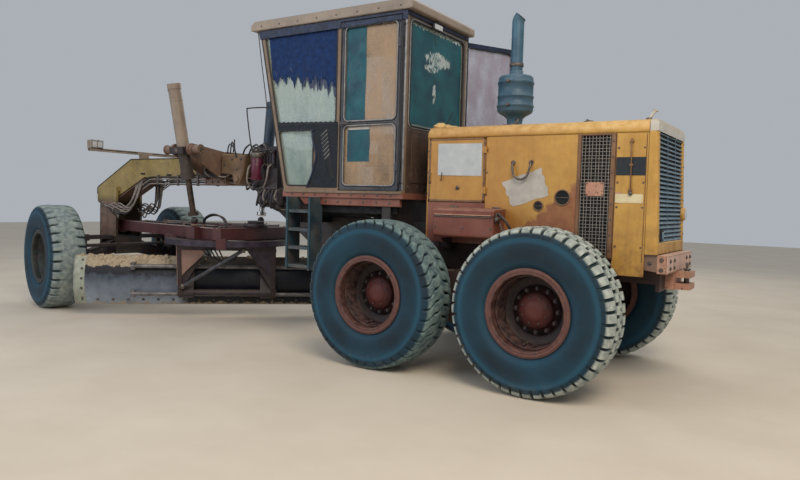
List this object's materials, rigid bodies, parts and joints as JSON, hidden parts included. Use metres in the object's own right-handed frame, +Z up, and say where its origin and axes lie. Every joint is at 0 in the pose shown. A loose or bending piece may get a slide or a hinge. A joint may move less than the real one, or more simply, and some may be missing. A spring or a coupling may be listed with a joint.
{
  "type": "motor grader",
  "caption": "Articulated six-wheeled motor grader: tandem-driven rear, cab, arched front frame, leaning front wheels and a blade under a turning circle.",
  "frame": {"origin": "on the ground under the middle of the machine's overall box", "axes": "+X forward, +Y to the machine's left, +Z up"},
  "size_m": [8.4262, 2.6748, 3.4299],
  "materials": {
    "tyre_rubber": "dusty rubber",
    "rust_red": "faded red-brown paint with rust",
    "ochre_paint": "faded ochre paint",
    "blue_grey_paint": "chalky blue-grey paint",
    "taupe_paint": "weathered taupe paint",
    "dark_steel": "oily dark steel",
    "worn_steel": "earth-polished steel",
    "bright_rod": "ground chrome",
    "engine_iron": "plain casting",
    "seat_cover": "worn vinyl",
    "window_glass": "dusty glass"
  },
  "bodies": {
    "rear_frame": {"rear_frame": "rust_red", "engine_block": "engine_iron", "hood": "ochre_paint", "radiator_guard": "blue_grey_paint", "rear_bumper": "rust_red", "muffler": "blue_grey_paint", "tool_box": "rust_red"},
    "hood_door_left": {"hood_door_left": "ochre_paint"},
    "hood_door_right": {"hood_door_right": "ochre_paint"},
    "front_frame": {"front_frame": "ochre_paint", "lift_saddle": "dark_steel", "lamp_bar": "dark_steel", "valve_bank": "dark_steel", "cab_floor": "rust_red", "cab_front": "taupe_paint", "cab_rear": "taupe_paint", "cab_side_left": "taupe_paint", "cab_side_right": "taupe_paint", "cab_roof": "taupe_paint", "cab_glass": "window_glass", "seat": "seat_cover", "control_console": "dark_steel", "steps": "blue_grey_paint"},
    "cab_door_left": {"cab_door_left": "dark_steel", "door_glass_left": "window_glass"},
    "cab_door_right": {"cab_door_right": "dark_steel", "door_glass_right": "window_glass"},
    "front_axle": {"front_axle": "dark_steel"},
    "lean_bar": {"lean_bar": "dark_steel"},
    "tie_ball": {"tie_ball": "dark_steel"},
    "tie_rod": {"tie_rod": "dark_steel"},
    "drawbar_ball": {"drawbar_ball": "dark_steel"},
    "drawbar": {"drawbar": "rust_red"},
    "turning_circle": {"turning_circle": "rust_red"},
    "blade_carrier": {"blade_carrier": "dark_steel"},
    "moldboard": {"moldboard": "worn_steel"},
    "tandem_left": {"tandem_left": "rust_red"},
    "wheel_rear_left": {"tyre_rear_left": "tyre_rubber", "rim_rear_left": "rust_red"},
    "wheel_middle_left": {"tyre_middle_left": "tyre_rubber", "rim_middle_left": "rust_red"},
    "tandem_right": {"tandem_right": "rust_red"},
    "wheel_rear_right": {"tyre_rear_right": "tyre_rubber", "rim_rear_right": "rust_red"},
    "wheel_middle_right": {"tyre_middle_right": "tyre_rubber", "rim_middle_right": "rust_red"},
    "lean_bracket_left": {"lean_bracket_left": "dark_steel"},
    "lean_bracket_right": {"lean_bracket_right": "dark_steel"},
    "knuckle_left": {"knuckle_left": "dark_steel"},
    "wheel_front_left": {"tyre_front_left": "tyre_rubber", "rim_front_left": "rust_red"},
    "knuckle_right": {"knuckle_right": "dark_steel"},
    "wheel_front_right": {"tyre_front_right": "tyre_rubber", "rim_front_right": "rust_red"},
    "lift_yoke_left": {"lift_yoke_left": "dark_steel"},
    "lift_barrel_left": {"lift_barrel_left": "ochre_paint"},
    "lift_rod_left": {"lift_rod_left": "bright_rod"},
    "lift_yoke_right": {"lift_yoke_right": "dark_steel"},
    "lift_barrel_right": {"lift_barrel_right": "dark_steel"},
    "lift_rod_right": {"lift_rod_right": "bright_rod"}
  },
  "joints": [
    {"name": "articulation", "type": "hinge", "parent": "rear_frame", "child": "front_frame", "pos_m": [-1.75, 0, 0.84], "axis": [0, 0, 1], "range_deg": [-20, 20]},
    {"name": "hood_door_left_hinge", "type": "hinge", "parent": "rear_frame", "child": "hood_door_left", "pos_m": [-2.48, 0.5203, 1.8], "axis": [0, 0, 1], "range_deg": [0, 110]},
    {"name": "cab_door_left_hinge", "type": "hinge", "parent": "front_frame", "child": "cab_door_left", "pos_m": [-1.615, 0.624, 2.4], "axis": [0, 0, 1], "range_deg": [0, 120]},
    {"name": "tandem_left_swing", "type": "hinge", "parent": "rear_frame", "child": "tandem_left", "pos_m": [-2.43, 0.6, 0.675], "axis": [0, 1, 0], "range_deg": [-15, 25]},
    {"name": "wheel_rear_left_roll", "type": "hinge", "parent": "tandem_left", "child": "wheel_rear_left", "pos_m": [-3.191, 0.985, 0.675], "axis": [0, 1, 0], "continuous": true},
    {"name": "wheel_middle_left_roll", "type": "hinge", "parent": "tandem_left", "child": "wheel_middle_left", "pos_m": [-1.669, 0.985, 0.675], "axis": [0, 1, 0], "continuous": true},
    {"name": "hood_door_right_hinge", "type": "hinge", "parent": "rear_frame", "child": "hood_door_right", "pos_m": [-2.48, -0.5203, 1.8], "axis": [0, 0, 1], "range_deg": [-110, 0]},
    {"name": "cab_door_right_hinge", "type": "hinge", "parent": "front_frame", "child": "cab_door_right", "pos_m": [-1.615, -0.624, 2.4], "axis": [0, 0, 1], "range_deg": [-2, 118]},
    {"name": "tandem_right_swing", "type": "hinge", "parent": "rear_frame", "child": "tandem_right", "pos_m": [-2.43, -0.6, 0.675], "axis": [0, 1, 0], "range_deg": [-15, 25]},
    {"name": "wheel_rear_right_roll", "type": "hinge", "parent": "tandem_right", "child": "wheel_rear_right", "pos_m": [-3.191, -0.985, 0.675], "axis": [0, 1, 0], "continuous": true},
    {"name": "wheel_middle_right_roll", "type": "hinge", "parent": "tandem_right", "child": "wheel_middle_right", "pos_m": [-1.669, -0.985, 0.675], "axis": [0, 1, 0], "continuous": true},
    {"name": "axle_oscillation", "type": "hinge", "parent": "front_frame", "child": "front_axle", "pos_m": [3.488, 0, 0.79], "axis": [1, 0, 0], "range_deg": [-16, 16]},
    {"name": "lean_left", "type": "hinge", "parent": "front_axle", "child": "lean_bracket_left", "pos_m": [3.488, 0.6, 0.675], "axis": [-1, 0, 0], "range_deg": [-18, 18]},
    {"name": "lean_right", "type": "hinge", "parent": "front_axle", "child": "lean_bracket_right", "pos_m": [3.488, -0.6, 0.675], "axis": [-1, 0, 0], "range_deg": [-18, 18]},
    {"name": "lean_bar_pivot", "type": "hinge", "parent": "lean_bracket_left", "child": "lean_bar", "pos_m": [3.488, 0.6, 0.915], "axis": [-1, 0, 0], "range_deg": [-18, 18]},
    {"name": "steer_left", "type": "hinge", "parent": "lean_bracket_left", "child": "knuckle_left", "pos_m": [3.488, 0.705, 0.7], "axis": [0, 0, 1], "range_deg": [-30, 60]},
    {"name": "wheel_front_left_roll", "type": "hinge", "parent": "knuckle_left", "child": "wheel_front_left", "pos_m": [3.56047, 0.97546, 0.675], "axis": [0.2588, 0.9659, 0], "continuous": true},
    {"name": "steer_right", "type": "hinge", "parent": "lean_bracket_right", "child": "knuckle_right", "pos_m": [3.488, -0.705, 0.7], "axis": [0, 0, 1], "range_deg": [-30, 60]},
    {"name": "wheel_front_right_roll", "type": "hinge", "parent": "knuckle_right", "child": "wheel_front_right", "pos_m": [3.41553, -0.97546, 0.675], "axis": [0.2588, 0.9659, 0], "continuous": true},
    {"name": "tie_ball_turn", "type": "hinge", "parent": "knuckle_left", "child": "tie_ball", "pos_m": [3.23493, 0.77281, 0.78], "axis": [0, 0, 1], "range_deg": [-60, 30]},
    {"name": "tie_rod_turn", "type": "hinge", "parent": "tie_ball", "child": "tie_rod", "pos_m": [3.23493, 0.77281, 0.78], "axis": [-1, 0, 0], "range_deg": [-18, 18]},
    {"name": "drawbar_swing", "type": "hinge", "parent": "front_frame", "child": "drawbar_ball", "pos_m": [3.58, 0, 1.06], "axis": [0, 0, 1], "range_deg": [-14, 14]},
    {"name": "drawbar_lift", "type": "hinge", "parent": "drawbar_ball", "child": "drawbar", "pos_m": [3.58, 0, 1.06], "axis": [0, 1, 0], "range_deg": [-3.8, 8]},
    {"name": "circle_turn", "type": "hinge", "parent": "drawbar", "child": "turning_circle", "pos_m": [1.32, 0, 0.965], "axis": [0, 0, 1], "continuous": true},
    {"name": "blade_tip", "type": "hinge", "parent": "turning_circle", "child": "blade_carrier", "pos_m": [1.1836, 0.14627, 0.33], "axis": [0.7314, 0.682, 0], "range_deg": [-5, 40]},
    {"name": "blade_side_shift", "type": "slide", "parent": "blade_carrier", "child": "moldboard", "axis": [0.7314, 0.682, 0], "range_m": [-0.5, 0.5]},
    {"name": "lift_yoke_left_swing", "type": "hinge", "parent": "front_frame", "child": "lift_yoke_left", "pos_m": [1.36, 0.7, 2.06], "axis": [1, 0, 0], "range_deg": [-32, 32]},
    {"name": "lift_barrel_left_swing", "type": "hinge", "parent": "lift_yoke_left", "child": "lift_barrel_left", "pos_m": [1.36, 0.7, 2.06], "axis": [0, 0.9862, -0.1654], "range_deg": [-4, 3]},
    {"name": "lift_rod_left_slide", "type": "slide", "parent": "lift_barrel_left", "child": "lift_rod_left", "axis": [-0.0472, -0.1652, -0.9851], "range_m": [-0.33, 0.16]},
    {"name": "lift_yoke_right_swing", "type": "hinge", "parent": "front_frame", "child": "lift_yoke_right", "pos_m": [1.36, -0.7, 2.06], "axis": [1, 0, 0], "range_deg": [-32, 32]},
    {"name": "lift_barrel_right_swing", "type": "hinge", "parent": "lift_yoke_right", "child": "lift_barrel_right", "pos_m": [1.36, -0.7, 2.06], "axis": [0, 0.9862, 0.1654], "range_deg": [-4, 3]},
    {"name": "lift_rod_right_slide", "type": "slide", "parent": "lift_barrel_right", "child": "lift_rod_right", "axis": [-0.0472, 0.1652, -0.9851], "range_m": [-0.33, 0.16]}
  ],
  "couplings": [
    {"joint": "lean_right", "follows": "lean_left", "ratio": 1},
    {"joint": "lean_bar_pivot", "follows": "lean_left", "ratio": -1},
    {"joint": "tie_rod_turn", "follows": "lean_left", "ratio": -0.851},
    {"joint": "steer_right", "follows": "steer_left", "ratio": 1},
    {"joint": "tie_ball_turn", "follows": "steer_left", "ratio": -1},
    {"joint": "lift_yoke_left_swing", "follows": "drawbar_swing", "ratio": 2.24},
    {"joint": "lift_barrel_left_swing", "follows": "drawbar_lift", "ratio": -0.4},
    {"joint": "lift_rod_left_slide", "follows": "drawbar_lift", "m_per_rad": -2.28},
    {"joint": "lift_yoke_right_swing", "follows": "drawbar_swing", "ratio": 2.24},
    {"joint": "lift_barrel_right_swing", "follows": "drawbar_lift", "ratio": -0.4},
    {"joint": "lift_rod_right_slide", "follows": "drawbar_lift", "m_per_rad": -2.28}
  ]
}
